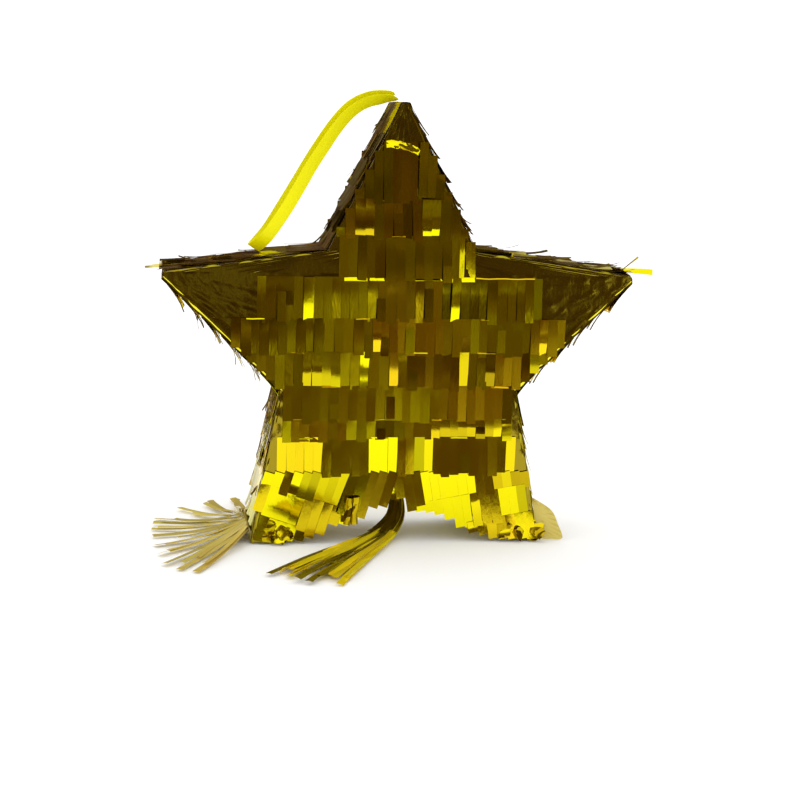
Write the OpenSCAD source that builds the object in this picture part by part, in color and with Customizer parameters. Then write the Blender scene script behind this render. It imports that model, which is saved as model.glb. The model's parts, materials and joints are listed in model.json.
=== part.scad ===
// Five-pointed star pinata: a hollow card star, wrapped in metallised film and covered with rows of
// cut film fringe. It stands on its two lower points. It has a ribbon loop to hang it by, a filling
// flap in the back panel, and free streamers on the left leg and in the crotch.
// Millimetres. +Z is up, the front faces -Y, and the origin is on the table, midway between the feet.

/* [Star] */
// Distance from the star's centre to the blunt end of a point
star_r = 185; // [180:1:190]
// Distance from the star's centre to an inner corner
waist_r = 94; // [92:1:96]
// Depth over the outer faces of the two card panels
core_depth = 70; // [66:1:76]
// How much of a sharp point is cut off at the top and on the arms
tip_cut = 5; // [4.5:0.5:6]
// How much of a sharp point is cut off level at the feet
foot_cut = 8; // [7:0.5:9]

/* [Card and film] */
// Thickness of the card panels and bands
card = 3; // [2.5:0.1:3]
// Thickness of the wrapping film, with its glue
film = 0.5; // [0.3:0.1:0.6]
// Thickness of a layer of fringe, lying flat
fringe = 1.5; // [1:0.1:1.6]

/* [Filling flap] */
// Width of the window that the flap closes
window_w = 84; // [70:1:90]
// Width of the knife slit around the flap
slit = 0.5; // [0.3:0.1:0.6]

/* [Ribbon loop] */
// Width of the ribbon
ribbon_w = 9.5; // [9:0.5:10]
// Thickness of the ribbon
ribbon_t = 0.8; // [0.6:0.1:0.8]

/* [Streamers] */
// Width of one streamer
streamer_w = 5; // [4:0.5:6]
// Thickness of one streamer
streamer_t = 1; // [0.8:0.1:1]

/* [Hidden] */

// --- the star's outline, in X and Z ---
sharp_r = star_r + tip_cut;
centre_z = sharp_r * cos(36) - foot_cut;
function at(angle, r) = [r * cos(angle), centre_z + r * sin(angle)];
function unit(v) = v / norm(v);
function tip_angle(k) = 90 + 72 * k; // points 0 to 4: top, left arm, left leg, right leg, right arm
// The end of the edge that runs from point k to the inner corner on one side (-1 or 1) of it
function nose(k, side) =
    let (tip = at(tip_angle(k), sharp_r),
         edge = unit(at(tip_angle(k) + 36 * side, waist_r) - tip),
         inward = [-cos(tip_angle(k)), -sin(tip_angle(k))])
    tip + edge * (k == 2 || k == 3 ? foot_cut / edge[1] : tip_cut / (edge * inward));
outline = [for (k = [0:4]) each [at(tip_angle(k) - 36, waist_r), nose(k, -1), nose(k, 1)]];
function corner(i) = outline[i % 15];
function normal(i) = let (d = unit(corner(i + 1) - corner(i))) [d[1], -d[0]];
// Outline corner i, moved out by t with mitred corners
function moved(i, t) =
    let (a = normal(i + 14), b = normal(i)) corner(i) + t * (a + b) / (1 + a * b);

// --- layers in Y ---
panel_y = core_depth / 2;
film_y = panel_y + film;
fringe_y = film_y + fringe;

// --- fringe rows: the top of row 1, and the height that shows of each row ---
first_row_z = centre_z + 157;
row_heights = [42, 27, 31, 31, 25, 26, 25, 14, 27];
function row_top(j) = j == 0 ? first_row_z : row_top(j - 1) - row_heights[j - 1];
legs_z = row_top(9);
flap_rows = [4, 5, 6];
window_top = row_top(4);
window_bottom = row_top(7);

// --- leg rows: how far the strips lean, and where their cut lines fall, for the left and right leg ---
leg_lean = [18, -10];
leg_first = [-13, -27];
leg_pitch = [24, 22];
overhang = 18;
far = 400;

// --- the ribbon loop: its route from the pivot, out along the front run and back along the rear ---
pivot_z = centre_z + star_r + 1;
loop_route = [
    [-1.2, -0.5, 1.2], [-7, -0.5, 2], [-14, -1.5, 1], [-22, -3, -0.5], [-31, -4, -4.5], [-40, -4, -12],
    [-49, -5, -23], [-57, -6, -35], [-66, -7, -49], [-75, -10, -64.5], [-85, -14, -81],
    [-96, -17, -97], [-102, -15, -104.5], [-107, -8, -109.5], [-109, 0, -111.2], [-107, 8, -109.5],
    [-102, 15, -104.5], [-96, 17, -97], [-85, 14, -78.5], [-75, 10, -61], [-66, 7, -45],
    [-57, 6, -30.5], [-49, 5, -18.5], [-40, 4, -7.5], [-31, 4, -0.5], [-22, 3, 3.5], [-14, 2, 5],
    [-8, 1, 5.5], [-3.4, 0.5, 5]];
loop_steps = len(loop_route) - 1;
// Across the loop's long straight stretch, towards the star's foot
loop_side = [0.84, 0, -0.54];
// How far the ribbon has turned from lying across the star (0) to facing the front (90)
function loop_turn(i) = 90 * sqrt(sin(180 * i / loop_steps));

// --- the crotch tassel: its middle line, half width and half thickness from the tie to the ends ---
tie = [0, 4, centre_z - 104];
tie_r = 4.5;
tassel_line = [
    [1, 1.5, -3], [5, -2, -15], [3, -14, -28], [-8, -32, -36], [-22, -52, -38.7],
    [-38, -76, -39.7], [-54, -102, -40.2], [-68, -126, -40.2], [-82, -150, -40.2]];
tassel_half_w = [3, 4.5, 6.5, 10, 14, 19, 24, 28, 32];
tassel_half_t = [1.8, 2.3, 2.5, 2, 2, 1.6, 1.2, 1.2, 1.2];

// --- the left tassel: the line it hangs from, and where its streamers end on the table ---
header_x = -113;
header_z = 9;
header_half_y = 30;
header_r = 1.5;
streamer_ends = [[-153, -116], [-166, -109], [-174, -98], [-178, -70], [-181, -45], [-183, -20],
    [-185, 5], [-184, 22], [-182, 40], [-165, 70], [-140, 92], [-120, 104]];

// ---------- shared shapes ----------

// A flat shape in X and Z, given as children, filling y from "from" to "to"
module slab(from, to) {
    translate([0, to, 0]) rotate([90, 0, 0]) linear_extrude(to - from) children();
}

// A layer from y0 outwards to y1, on the front (side -1) or the back (side 1)
module layer(side, y0, y1) {
    slab(side > 0 ? y0 : -y1, side > 0 ? y1 : -y0) children();
}

module star_2d() {
    polygon(outline);
}

module below_to(low, high) {
    translate([-far / 2, low]) square([far, high - low]);
}

module window_2d(gap) {
    translate([-window_w / 2 + gap, window_bottom + gap])
        square([window_w - 2 * gap, window_top - window_bottom - 2 * gap]);
}

// A flat strip with a rectangular section, swept through points with a width direction at each
module flat_sweep(points, across, half_w, half_t) {
    n = len(points);
    function along(i) = unit(points[min(n - 1, i + 1)] - points[max(0, i - 1)]);
    rings = [for (i = [0:n - 1])
        let (w = unit(across[i] - (across[i] * along(i)) * along(i)), t = cross(along(i), w))
        each [points[i] + half_w[i] * w + half_t[i] * t, points[i] - half_w[i] * w + half_t[i] * t,
              points[i] - half_w[i] * w - half_t[i] * t, points[i] + half_w[i] * w - half_t[i] * t]];
    sides = [for (i = [0:n - 2], s = [0:3]) each
        [[4 * i + s, 4 * i + 4 + s, 4 * i + (s + 1) % 4],
         [4 * i + (s + 1) % 4, 4 * i + 4 + s, 4 * i + 4 + (s + 1) % 4]]];
    ends = [[0, 1, 2], [0, 2, 3], [4 * n - 2, 4 * n - 3, 4 * n - 4], [4 * n - 1, 4 * n - 2, 4 * n - 4]];
    polyhedron(rings, concat(sides, ends));
}

// ---------- card structure ----------

module front_panel() {
    color("tan") layer(-1, panel_y - card, panel_y) star_2d();
}

module back_panel() {
    color("tan") layer(1, panel_y - card, panel_y) difference() {
        star_2d();
        window_2d(0);
    }
}

module fill_flap() {
    color("tan") layer(1, panel_y - card, panel_y) window_2d(slit);
}

// The folded band around point k, from one inner corner to the next
module band(k) {
    inside = panel_y - card;
    color("tan") slab(-inside, inside)
        polygon([for (i = [3 * k:3 * k + 3]) corner(i), for (i = [3:-1:0]) moved(3 * k + i, -card)]);
}

// The top band has a slot in its blunt end, which the ribbon's tail passes through
module band_top() {
    slot_x = 2.2;
    slot_y = ribbon_w + 2;
    difference() {
        band(0);
        translate([-slot_x / 2, -slot_y / 2, pivot_z - 1 - 2 * card]) cube([slot_x, slot_y, 3 * card]);
    }
}

// Tape over the joint between two bands, inside each inner corner
module corner_tapes() {
    tape_t = 0.5;
    tape_leg = 14;
    tape_half_y = 26;
    color("beige") for (k = [0:4]) {
        i = 3 * k;
        before = unit(corner(i + 14) - corner(i));
        after = unit(corner(i + 1) - corner(i));
        slab(-tape_half_y, tape_half_y) polygon([
            moved(i, -card) + before * tape_leg, moved(i, -card), moved(i, -card) + after * tape_leg,
            moved(i, -card - tape_t) + after * tape_leg, moved(i, -card - tape_t),
            moved(i, -card - tape_t) + before * tape_leg]);
    }
}

// ---------- ribbon loop ----------

washer_z = pivot_z - 30;
washer_t = 2;

// The two ends of the ribbon inside the top point, tied in a knot under the washer
module loop_knot() {
    knot_r = 4.5;
    color("gold") {
        translate([-ribbon_t, -ribbon_w / 2, washer_z - 2])
            cube([2 * ribbon_t, ribbon_w, pivot_z - 1 - washer_z + 2]);
        translate([0, 0, washer_z - knot_r]) sphere(r = knot_r, $fn = 48);
    }
}

module loop_washer() {
    size = [16, 40, washer_t];
    color("tan") difference() {
        translate([-size[0] / 2, -size[1] / 2, washer_z]) cube(size);
        translate([-ribbon_t, -ribbon_w / 2, washer_z - 1]) cube([2 * ribbon_t, ribbon_w, washer_t + 2]);
    }
}

module hanging_loop() {
    points = [for (p = loop_route) p + [0, 0, pivot_z]];
    function along(i) = unit(points[min(loop_steps, i + 1)] - points[max(0, i - 1)]);
    // Square to the ribbon, in the star's plane: where its width points once it faces the front
    function level(i) = unit(loop_side - (loop_side * along(i)) * along(i));
    across = [for (i = [0:loop_steps])
        cos(loop_turn(i)) * [0, 1, 0] + sin(loop_turn(i)) * level(i)];
    color("yellow") flat_sweep(points, across,
        [for (p = points) ribbon_w / 2], [for (p = points) ribbon_t / 2]);
}

// ---------- film and fringe ----------

module front_foil() {
    color("goldenrod") layer(-1, panel_y, film_y) star_2d();
}

module back_foil() {
    color("goldenrod") layer(1, panel_y, film_y) difference() {
        star_2d();
        window_2d(0);
    }
}

module flap_foil() {
    color("goldenrod") layer(1, panel_y, film_y) window_2d(slit);
}

// The plain film cap over the top point, above row 1
module tip_cap(side) {
    color("goldenrod") layer(side, film_y, fringe_y) intersection() {
        star_2d();
        below_to(first_row_z, far);
    }
}

module row_2d(j) {
    intersection() {
        star_2d();
        below_to(row_top(j + 1), row_top(j));
    }
}

module front_row(j) {
    color("gold") layer(-1, film_y, fringe_y) row_2d(j);
}

module back_row(j) {
    color("gold") layer(1, film_y, fringe_y) difference() {
        row_2d(j);
        window_2d(0);
    }
}

module flap_row(j) {
    color("gold") layer(1, film_y, fringe_y) intersection() {
        window_2d(slit);
        below_to(row_top(j + 1), row_top(j));
    }
}

// What the fringe of one leg covers: the leg below the last level row, and the tabs that hang over
// the crotch. leg is 0 for the left one and 1 for the right one.
module leg_2d(leg) {
    side = leg == 0 ? -1 : 1;
    crotch = corner(9);
    inner_foot = leg == 0 ? corner(8) : corner(10);
    outer_foot = leg == 0 ? corner(7) : corner(11);
    waist = leg == 0 ? corner(6) : corner(12);
    polygon([[0, legs_z], crotch - [0, overhang], inner_foot - [side * overhang, 0], outer_foot,
             outer_foot + (waist - outer_foot) * legs_z / waist[1]]);
}

// Strip n (1 to 3) of a leg's fringe, between two cut lines that lean with the leg
module leg_row_2d(leg, n) {
    low = n == 1 ? -far : leg_first[leg] + leg_pitch[leg] * (n - 2);
    high = n == 3 ? far : leg_first[leg] + leg_pitch[leg] * (n - 1);
    intersection() {
        leg_2d(leg);
        rotate(-leg_lean[leg]) translate([-far, -high]) square([2 * far, high - low]);
    }
}

module leg_row(side, leg, n) {
    color("gold") layer(side, film_y, fringe_y) leg_row_2d(leg, n);
}

// The fringe on the outside of wall i, mitred where it meets the next wall in an inner corner
module side_fringe(i) {
    tip_first = i % 3 == 2;
    out = fringe * normal(i);
    color("gold") slab(-panel_y, panel_y) intersection() {
        polygon([corner(i), tip_first ? corner(i) + out : moved(i, fringe),
                 tip_first ? moved(i + 1, fringe) : corner(i + 1) + out, corner(i + 1)]);
        below_to(0, far);
    }
}

// A single strip that sticks out past the end of an arm
module arm_streamer(side, length) {
    end_x = abs(nose(1, -1)[0]) - 3;
    color("gold") translate([side < 0 ? -end_x - length : end_x, -streamer_w / 2, nose(1, -1)[1]])
        cube([length, streamer_w, fringe]);
}

module side_fringe_left_arm_upper() {
    side_fringe(3);
    arm_streamer(-1, 17);
}

module side_fringe_right_arm_upper() {
    side_fringe(14);
    arm_streamer(1, 29);
}

// The film that flares from the front edge of the right leg's outer wall
module right_leg_fan() {
    root = corner(11);
    edge = unit(corner(12) - corner(11));
    fan_h = 34;
    fan_w = 20;
    out = fringe / normal(11)[0];
    color("khaki") slab(-panel_y, 1 - panel_y)
        polygon([root + edge * fan_h + [out, 0], root + edge + [out, 0], root + [fan_w, 0.5],
                 root + [0.8 * fan_w, fan_h / 3], root + [fan_w / 2, 0.7 * fan_h]]);
}

// ---------- free streamers ----------

module left_tassel() {
    header = [header_x, 0, header_z];
    count = len(streamer_ends);
    color("khaki") union() {
        translate(header - [0, header_half_y, 0]) rotate([-90, 0, 0])
            cylinder(r = header_r, h = 2 * header_half_y, $fn = 32);
        for (i = [0:count - 1]) {
            root = header + [0, (header_half_y - streamer_w / 2) * (2 * i / (count - 1) - 1), 0];
            run = [streamer_ends[i][0], streamer_ends[i][1], streamer_t] - root;
            length = norm(run);
            translate(root) rotate([0, asin(-run[2] / length), atan2(run[1], run[0])])
                translate([0, -streamer_w / 2, -streamer_t / 2]) cube([length, streamer_w, streamer_t]);
        }
    }
}

module crotch_tassel() {
    ahead = unit([tassel_line[8][0], tassel_line[8][1], 0]);
    across = [-ahead[1], ahead[0], 0];
    color("gold") union() {
        translate(tie) sphere(r = tie_r, $fn = 48);
        flat_sweep([for (p = tassel_line) p + tie], [for (p = tassel_line) across],
            tassel_half_w, tassel_half_t);
    }
}

// The glued tab that the crotch tassel's tie hangs from
module tassel_hanger() {
    half = 3;
    apex = moved(9, fringe);
    foot = moved(10, fringe);
    drop = half * (apex[1] - foot[1]) / (foot[0] - apex[0]);
    bottom = tie[2] + tie_r + 0.5;
    color("gold") translate([0, tie[1] + ribbon_t / 2, 0]) rotate([90, 0, 0]) linear_extrude(ribbon_t)
        polygon([[-half, bottom], [half, bottom], [half, apex[1] - drop], apex, [-half, apex[1] - drop]]);
}

// ---------- nodes ----------

front_panel();
back_panel();
fill_flap();
band_top();
band(1);  // band_left_arm
band(2);  // band_left_leg
band(3);  // band_right_leg
band(4);  // band_right_arm
corner_tapes();
loop_knot();
loop_washer();
hanging_loop();
front_foil();
back_foil();
flap_foil();
tip_cap(-1);  // front_tip_cap
tip_cap(1);  // back_tip_cap
for (j = [0:8]) {
    front_row(j);
    back_row(j);
}
for (n = [1:3]) {
    leg_row(-1, 0, n);
    leg_row(-1, 1, n);
    leg_row(1, 0, n);  // back_left_leg_fringe
    leg_row(1, 1, n);  // back_right_leg_fringe
    flap_row(flap_rows[n - 1]);
}
side_fringe(0);  // side_fringe_top_right
side_fringe(2);  // side_fringe_top_left
side_fringe_left_arm_upper();
side_fringe(5);  // side_fringe_left_arm_lower
side_fringe(6);  // side_fringe_left_leg_outer
side_fringe(8);  // side_fringe_left_leg_inner
side_fringe(9);  // side_fringe_right_leg_inner
side_fringe(11);  // side_fringe_right_leg_outer
side_fringe(12);  // side_fringe_right_arm_lower
side_fringe_right_arm_upper();
left_tassel();
crotch_tassel();
tassel_hanger();
right_leg_fan();
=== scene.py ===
"""Looks of the star pinata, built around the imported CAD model. Metres, +Z up, the front faces -Y."""
import json
import random
from math import atan2, cos, hypot, pi, radians, sin, sqrt, tau

import bpy
import numpy as np
from mathutils import Matrix, Vector, noise


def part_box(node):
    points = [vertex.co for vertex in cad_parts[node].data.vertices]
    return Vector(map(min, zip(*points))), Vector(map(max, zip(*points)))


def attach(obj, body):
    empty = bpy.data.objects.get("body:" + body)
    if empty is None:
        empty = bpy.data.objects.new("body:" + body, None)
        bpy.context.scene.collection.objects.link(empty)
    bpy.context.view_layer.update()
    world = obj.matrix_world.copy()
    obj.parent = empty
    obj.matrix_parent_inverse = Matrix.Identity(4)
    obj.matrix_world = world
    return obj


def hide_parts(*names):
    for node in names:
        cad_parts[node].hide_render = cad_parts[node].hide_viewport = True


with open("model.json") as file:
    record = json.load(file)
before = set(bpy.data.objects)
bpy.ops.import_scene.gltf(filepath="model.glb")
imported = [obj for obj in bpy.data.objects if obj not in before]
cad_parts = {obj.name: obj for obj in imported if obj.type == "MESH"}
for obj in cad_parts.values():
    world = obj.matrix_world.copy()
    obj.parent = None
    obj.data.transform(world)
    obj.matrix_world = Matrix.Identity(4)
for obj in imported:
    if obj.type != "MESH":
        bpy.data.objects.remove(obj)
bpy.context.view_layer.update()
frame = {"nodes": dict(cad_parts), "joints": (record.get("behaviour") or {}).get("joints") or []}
NODES = frame["nodes"]
MM = 0.001

# ---------- places taken from the frame ----------

FRONT_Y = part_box("front_foil")[0].y
BACK_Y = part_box("back_foil")[1].y
FACE_Y = {-1: FRONT_Y, 1: BACK_Y}
WALL_HALF = -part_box("front_panel")[0].y
JOINTS = {joint["name"]: joint for joint in frame["joints"]}
LOOP_PIVOT = np.array(JOINTS["loop_swing"]["pos_m"])
TIE = np.array(JOINTS["crotch_tassel_droop"]["pos_m"])
LEFT_TIE = np.array(JOINTS["left_tassel_droop"]["pos_m"])
WINDOW_LOW, WINDOW_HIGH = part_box("fill_flap")


CENTRE_OVER_BAND = 29 * MM
FIRST_CORNER_AFTER = radians(50)


def star_corners():
    """The star's 15 corners in x and z, anticlockwise from the inner corner right of the top point."""
    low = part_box("front_panel")[0]
    found = {(round(v.co.x, 6), round(v.co.z, 6)) for v in NODES["front_panel"].data.vertices
             if v.co.y < low.y + 1e-5}
    rough_centre = (0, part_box("band_left_leg")[1].z + CENTRE_OVER_BAND)
    by_angle = sorted(found, key=lambda p: (atan2(p[1] - rough_centre[1], p[0])
                                            - FIRST_CORNER_AFTER) % tau)
    return [np.array(p) for p in by_angle]


CORNERS = star_corners()
# The ten long walls, by the corner that each starts from, and the CAD fringe on each
WALLS = {0: "top_right", 2: "top_left", 3: "left_arm_upper", 5: "left_arm_lower", 6: "left_leg_outer",
         8: "left_leg_inner", 9: "right_leg_inner", 11: "right_leg_outer", 12: "right_arm_lower",
         14: "right_arm_upper"}


def corner(i):
    return CORNERS[i % 15]


def span(z, right=True):
    """How far the star reaches to one side of x = 0 at height z."""
    sign = 1 if right else -1
    reach = []
    for i in range(15):
        a, b = corner(i), corner(i + 1)
        if (a[1] - z) * (b[1] - z) <= 0 and a[1] != b[1]:
            x = a[0] + (b[0] - a[0]) * (z - a[1]) / (b[1] - a[1])
            if x * sign >= -1e-6:
                reach.append(x * sign)
    return max(reach) if reach else 0.0


def edge_height(x, corners):
    """The height at x of the outline through these corners."""
    for i, j in zip(corners, corners[1:]):
        a, b = corner(i), corner(j)
        if min(a[0], b[0]) - 1e-9 <= x <= max(a[0], b[0]) + 1e-9 and abs(a[0] - b[0]) > 1e-6:
            return a[1] + (b[1] - a[1]) * (x - a[0]) / (b[0] - a[0])
    return None


def highest(x):
    """The top edge of the star at x."""
    found = edge_height(x, (1, 0, 14) if x > 0 else (2, 3, 4))
    return corner(1)[1] if found is None else found


def lowest(x):
    """The bottom edge of an arm at x, or 0 nearer the middle."""
    return edge_height(x, (13, 12) if x > 0 else (5, 6)) or 0.0


# ---------- camera, floor and light ----------

CAMERA_TARGET = Vector((5.85 * MM, 0, 103.6 * MM))
CAMERA_DISTANCE = 1.3
CAMERA_AZIMUTH = radians(-7.8)
CAMERA_ELEVATION = radians(10)
CAMERA_ROLL = radians(1.39)
CAMERA_LENS = 75.4
TABLE_R = 0.56


def new_object(name, data):
    made = bpy.data.objects.new(name, data)
    bpy.context.scene.collection.objects.link(made)
    return made


def make_camera():
    data = bpy.data.cameras.new("camera")
    data.lens = CAMERA_LENS
    data.sensor_width = 36
    camera = new_object("camera", data)
    back = Vector((sin(CAMERA_AZIMUTH) * cos(CAMERA_ELEVATION),
                   -cos(CAMERA_AZIMUTH) * cos(CAMERA_ELEVATION), sin(CAMERA_ELEVATION)))
    level = Vector((cos(CAMERA_AZIMUTH), sin(CAMERA_AZIMUTH), 0))
    upright = back.cross(level)
    right = level * cos(CAMERA_ROLL) + upright * sin(CAMERA_ROLL)
    up = upright * cos(CAMERA_ROLL) - level * sin(CAMERA_ROLL)
    place = CAMERA_TARGET + back * CAMERA_DISTANCE
    camera.matrix_world = Matrix([(*right, 0), (*up, 0), (*back, 0), (*place, 1)]).transposed()
    bpy.context.scene.camera = camera


def connect(tree, node, inputs):
    """Give each of a node's inputs a value, or a link from an output."""
    for key, value in inputs.items():
        if isinstance(value, bpy.types.NodeSocket):
            tree.links.new(value, node.inputs[key])
        else:
            node.inputs[key].default_value = value


def add_node(tree, kind, inputs, **settings):
    """A new node with these settings and inputs."""
    node = tree.nodes.new("ShaderNode" + kind)
    for key, value in settings.items():
        setattr(node, key, value)
    connect(tree, node, inputs)
    return node


def math_node(tree, operation, *values):
    return add_node(tree, "Math", dict(enumerate(values)), operation=operation).outputs[0]


def mixed(tree, factor, a, b):
    """A colour between a and b, each a colour or an output."""
    a, b = ((*value, 1) if isinstance(value, tuple) else value for value in (a, b))
    return add_node(tree, "Mix", {"Factor": factor, "A": a, "B": b}, data_type="RGBA").outputs["Result"]


def new_material(name):
    """A material, its node tree and its Principled shader."""
    material = bpy.data.materials.new(name)
    material.use_nodes = True
    return material, material.node_tree, material.node_tree.nodes["Principled BSDF"]


DISC_SIDES = 96
FLOOR_R = 30
FLOOR_Z = -0.6 * MM
TABLE_Z = -0.2 * MM
FLOOR_COLOUR = (0.93, 0.93, 0.93, 1)


def disc_mesh(name, radius, z):
    turns = [tau * k / DISC_SIDES for k in range(DISC_SIDES)]
    mesh = bpy.data.meshes.new(name)
    mesh.from_pydata([(radius * cos(t), radius * sin(t), z) for t in turns], [],
                     [list(range(DISC_SIDES))])
    disc = new_object(name, mesh)
    return disc


def make_floor():
    """A wide pale floor, of which the film mirrors only the table top round the star."""
    paint, tree, shader = new_material("floor_paint")
    connect(tree, shader, {"Base Color": FLOOR_COLOUR, "Roughness": 0.9, "Specular IOR Level": 0.0})
    floor = disc_mesh("floor", FLOOR_R, FLOOR_Z)
    floor.visible_glossy = False
    table = disc_mesh("table_top", TABLE_R, TABLE_Z)
    table.visible_camera = table.visible_diffuse = table.visible_shadow = False
    for piece in (floor, table):
        piece.data.materials.append(paint)


# The mirrored room, from its dark corners to its windows
ROOM_STEPS = [(0.0, (0.02, 0.012, 0.01)), (0.42, (0.06, 0.033, 0.025)), (0.55, (0.12, 0.07, 0.045)),
              (0.62, (0.17, 0.14, 0.07)), (0.68, (0.45, 0.4, 0.33)), (0.73, (1.2, 1.2, 1.2))]
CEILING = (1.1, 1.1, 1.1)
BACKDROP = (1.3, 1.3, 1.3)


def make_world():
    """White for the camera and for soft light, and a dim room with windows for what the film mirrors."""
    world = bpy.data.worlds.new("studio")
    bpy.context.scene.world = world
    world.use_nodes = True
    tree = world.node_tree
    tree.nodes.clear()
    direction = add_node(tree, "TexCoord", {}).outputs["Generated"]
    x, y, z = add_node(tree, "SeparateXYZ", {0: direction}).outputs
    azimuth = math_node(tree, "ARCTAN2", x, math_node(tree, "MULTIPLY", y, -1.0))
    place = add_node(tree, "CombineXYZ", {0: azimuth, 1: math_node(tree, "MULTIPLY", z, 0.8)})
    walls = add_node(tree, "TexNoise", {"Vector": place.outputs[0], "Scale": 4.5, "Detail": 3.0,
                                        "Roughness": 0.6})
    room = add_node(tree, "ValToRGB", {0: walls.outputs[0]})
    for position, _ in ROOM_STEPS[2:]:
        room.color_ramp.elements.new(position)
    for element, (position, colour) in zip(room.color_ramp.elements, ROOM_STEPS):
        element.position = position
        element.color = (*colour, 1)
    above = add_node(tree, "MapRange", {0: z, "From Min": 0.5, "From Max": 0.75},
                     interpolation_type="SMOOTHSTEP")
    lit_room = mixed(tree, above.outputs[0], room.outputs[0], CEILING)
    rays = add_node(tree, "LightPath", {})
    chosen = mixed(tree, rays.outputs["Is Glossy Ray"], BACKDROP, lit_room)
    background = add_node(tree, "Background", {"Color": chosen, "Strength": 1.0})
    add_node(tree, "OutputWorld", {0: background.outputs[0]})


# ---------- materials ----------

def texture(tree, kind, scale, stretch, **inputs):
    """A texture node on the object's own coordinates, stretched along its axes."""
    place = add_node(tree, "TexCoord", {}).outputs["Object"]
    place = add_node(tree, "Mapping", {"Vector": place, "Scale": stretch}).outputs[0]
    return add_node(tree, "Tex" + kind, {"Vector": place, "Scale": scale, **inputs})


def bump(tree, shader, height, strength, distance):
    raised = add_node(tree, "Bump", {"Strength": strength, "Distance": distance, "Height": height})
    connect(tree, shader, {"Normal": raised.outputs[0]})


STAIN = (0.9, 0.42, 0.04)


def film_material(name, orange, lemon, painted_dark_depth, wrinkle, metallic=1.0):
    """Metallised film. Each sheet's tone attribute moves it from orange to lemon and from dark to bright,
    where the dark end is a painted dark reflection: the base colour mixed towards black by the given share.
    """
    material, tree, shader = new_material(name)
    tone = add_node(tree, "Attribute", {}, attribute_name="tone")
    painted_reflection, hue, haze = add_node(tree, "SeparateColor", {0: tone.outputs["Color"]}).outputs
    hue_colour = mixed(tree, hue, orange, lemon)
    streaks = texture(tree, "Noise", 260, (1, 1, 0.12), Detail=2.0)
    # Painted dark reflection: the tone's first value mixes the metal's base colour towards black, as if the
    # sheet mirrored something dark
    shade = mixed(tree, painted_reflection, mixed(tree, painted_dark_depth, hue_colour, (0.0, 0.0, 0.0)), hue_colour)
    stained = mixed(tree, math_node(tree, "MULTIPLY", streaks.outputs[0], 0.10), shade, STAIN)
    roughness = math_node(tree, "MULTIPLY_ADD", haze, 0.16, 0.07)
    connect(tree, shader, {"Base Color": stained, "Metallic": metallic, "Roughness": roughness})
    folds = texture(tree, "Noise", 420, (1, 1, 0.45), Detail=3.0)
    bump(tree, shader, folds.outputs[0], wrinkle, 0.4 * MM)
    return material


def ribbon_material():
    material, tree, shader = new_material("satin_ribbon")
    across = texture(tree, "Noise", 900, (1, 1, 1), Detail=2.0)
    colour = mixed(tree, across.outputs[0], (0.80, 0.74, 0.001), (0.86, 0.82, 0.002))
    connect(tree, shader, {"Base Color": colour, "Roughness": 0.5, "Specular IOR Level": 0.12,
                           "Anisotropic": 0.5})
    weave = texture(tree, "Wave", 1500, (1, 0.2, 1), Distortion=1.5)
    bump(tree, shader, weave.outputs[0], 0.25, 0.08 * MM)
    return material


def card_material(name, light, dark):
    material, tree, shader = new_material(name)
    fibres = texture(tree, "Noise", 380, (1, 1, 0.25), Detail=6.0, Roughness=0.7)
    flutes = texture(tree, "Wave", 95, (1, 0, 0), Distortion=0.6)
    base = mixed(tree, fibres.outputs[0], dark, light)
    shade = mixed(tree, math_node(tree, "MULTIPLY", flutes.outputs[0], 0.12), base, dark)
    connect(tree, shader, {"Base Color": shade, "Roughness": 0.88})
    height = math_node(tree, "MULTIPLY_ADD", flutes.outputs[0], 0.6, fibres.outputs[0])
    bump(tree, shader, height, 0.35, 0.25 * MM)
    return material


def tape_material():
    material, tree, shader = new_material("gummed_tape")
    fibres = texture(tree, "Noise", 600, (1, 1, 1), Detail=5.0)
    colour = mixed(tree, fibres.outputs[0], (0.62, 0.50, 0.32), (0.76, 0.66, 0.47))
    connect(tree, shader, {"Base Color": colour, "Roughness": 0.6})
    bump(tree, shader, fibres.outputs[0], 0.3, 0.1 * MM)
    return material


# The fourth value of each is how far a low tone darkens the film towards black, a painted dark reflection
GOLD = film_material("gold_film", (0.95, 0.66, 0.01), (0.93, 0.88, 0.002), 0.62, 0.06)
SKIN = film_material("crinkled_film", (0.90, 0.68, 0.05), (0.90, 0.84, 0.03), 0.72, 0.15)
PALE = film_material("film_reverse", (0.74, 0.55, 0.12), (0.80, 0.70, 0.20), 0.45, 0.12)
PALE_STRIP = film_material("pale_streamer_film", (0.74, 0.54, 0.10), (0.82, 0.70, 0.16), 0.60, 0.08, 0.2)
TASSEL = film_material("tassel_film", (0.85, 0.50, 0.01), (0.95, 0.86, 0.01), 0.92, 0.06, 0.35)
RIBBON = ribbon_material()
CARD = card_material("brown_card", (0.56, 0.41, 0.25), (0.40, 0.27, 0.15))
TAPE = tape_material()

# ---------- thin sheets ----------

FILM = 0.14 * MM


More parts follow.
